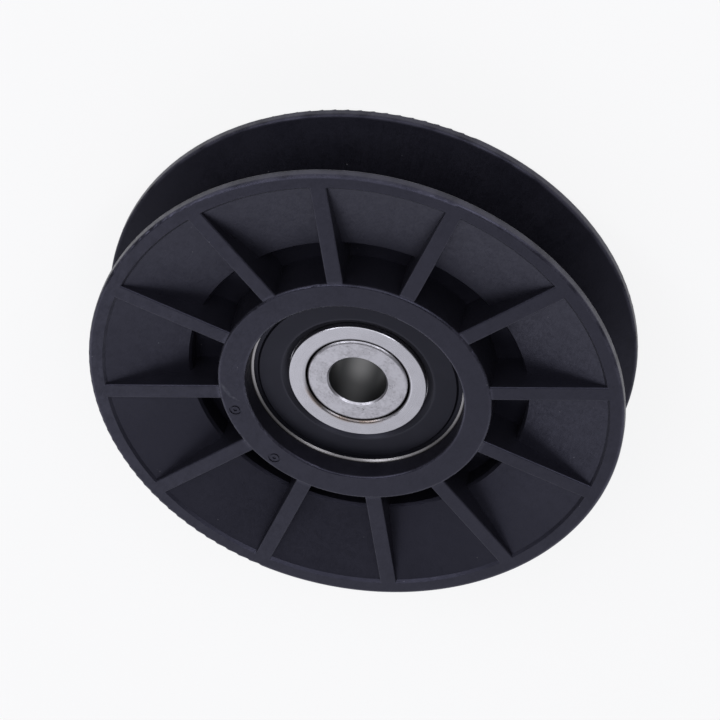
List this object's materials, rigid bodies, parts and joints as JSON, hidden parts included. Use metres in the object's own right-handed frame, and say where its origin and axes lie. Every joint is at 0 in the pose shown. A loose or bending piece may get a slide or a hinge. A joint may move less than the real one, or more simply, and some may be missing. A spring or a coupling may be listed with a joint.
{
  "type": "belt pulley",
  "caption": "Black moulded V-groove belt idler pulley with straight ribs on its faces, a sealed ball bearing and a steel sleeve for the bolt it turns on.",
  "frame": {"origin": "on the pulley's axis, in its middle plane, at the centre of the bolt bore", "axes": "+Z along the axis out of the pictured face, +X along one of the ribs; the pulley lies on its rear hub ring"},
  "size_m": [0.0888, 0.0888, 0.0184],
  "materials": {
    "moulded_nylon": "black glass-filled nylon, satin moulded skin",
    "ring_steel": "ground bearing steel",
    "sleeve_steel": "turned steel, bright",
    "seal_rubber": "black nitrile rubber, matt",
    "cage_steel": "pressed steel strip",
    "ball_steel": "polished steel"
  },
  "bodies": {
    "spindle": {"bearing_inner_ring": "ring_steel", "bore_sleeve": "sleeve_steel"},
    "wheel": {"pulley_wheel": "moulded_nylon", "bearing_outer_ring": "ring_steel", "front_seal": "seal_rubber", "rear_seal": "seal_rubber"},
    "cage": {"cage_front_half": "cage_steel", "cage_rear_half": "cage_steel", "cage_rivets": "cage_steel"},
    "rolling_ball_1": {"ball_1": "ball_steel"},
    "rolling_ball_2": {"ball_2": "ball_steel"},
    "rolling_ball_3": {"ball_3": "ball_steel"},
    "rolling_ball_4": {"ball_4": "ball_steel"},
    "rolling_ball_5": {"ball_5": "ball_steel"},
    "rolling_ball_6": {"ball_6": "ball_steel"},
    "rolling_ball_7": {"ball_7": "ball_steel"},
    "rolling_ball_8": {"ball_8": "ball_steel"}
  },
  "joints": [
    {"name": "wheel_spin", "type": "hinge", "parent": "spindle", "child": "wheel", "pos_m": [0, 0, 0], "axis": [0, 0, 1], "continuous": true},
    {"name": "cage_spin", "type": "hinge", "parent": "spindle", "child": "cage", "pos_m": [0, 0, 0], "axis": [0, 0, 1], "continuous": true},
    {"name": "ball_1_roll", "type": "hinge", "parent": "cage", "child": "rolling_ball_1", "pos_m": [0.01425, 0, 0], "axis": [0, 0, 1], "continuous": true},
    {"name": "ball_2_roll", "type": "hinge", "parent": "cage", "child": "rolling_ball_2", "pos_m": [0.01008, 0.01008, 0], "axis": [0, 0, 1], "continuous": true},
    {"name": "ball_3_roll", "type": "hinge", "parent": "cage", "child": "rolling_ball_3", "pos_m": [0, 0.01425, 0], "axis": [0, 0, 1], "continuous": true},
    {"name": "ball_4_roll", "type": "hinge", "parent": "cage", "child": "rolling_ball_4", "pos_m": [-0.01008, 0.01008, 0], "axis": [0, 0, 1], "continuous": true},
    {"name": "ball_5_roll", "type": "hinge", "parent": "cage", "child": "rolling_ball_5", "pos_m": [-0.01425, 0, 0], "axis": [0, 0, 1], "continuous": true},
    {"name": "ball_6_roll", "type": "hinge", "parent": "cage", "child": "rolling_ball_6", "pos_m": [-0.01008, -0.01008, 0], "axis": [0, 0, 1], "continuous": true},
    {"name": "ball_7_roll", "type": "hinge", "parent": "cage", "child": "rolling_ball_7", "pos_m": [0, -0.01425, 0], "axis": [0, 0, 1], "continuous": true},
    {"name": "ball_8_roll", "type": "hinge", "parent": "cage", "child": "rolling_ball_8", "pos_m": [0.01008, -0.01008, 0], "axis": [0, 0, 1], "continuous": true}
  ],
  "couplings": [
    {"joint": "cage_spin", "follows": "wheel_spin", "ratio": 0.61837},
    {"joint": "ball_1_roll", "follows": "wheel_spin", "ratio": 1.9937},
    {"joint": "ball_2_roll", "follows": "wheel_spin", "ratio": 1.9937},
    {"joint": "ball_3_roll", "follows": "wheel_spin", "ratio": 1.9937},
    {"joint": "ball_4_roll", "follows": "wheel_spin", "ratio": 1.9937},
    {"joint": "ball_5_roll", "follows": "wheel_spin", "ratio": 1.9937},
    {"joint": "ball_6_roll", "follows": "wheel_spin", "ratio": 1.9937},
    {"joint": "ball_7_roll", "follows": "wheel_spin", "ratio": 1.9937},
    {"joint": "ball_8_roll", "follows": "wheel_spin", "ratio": 1.9937}
  ]
}
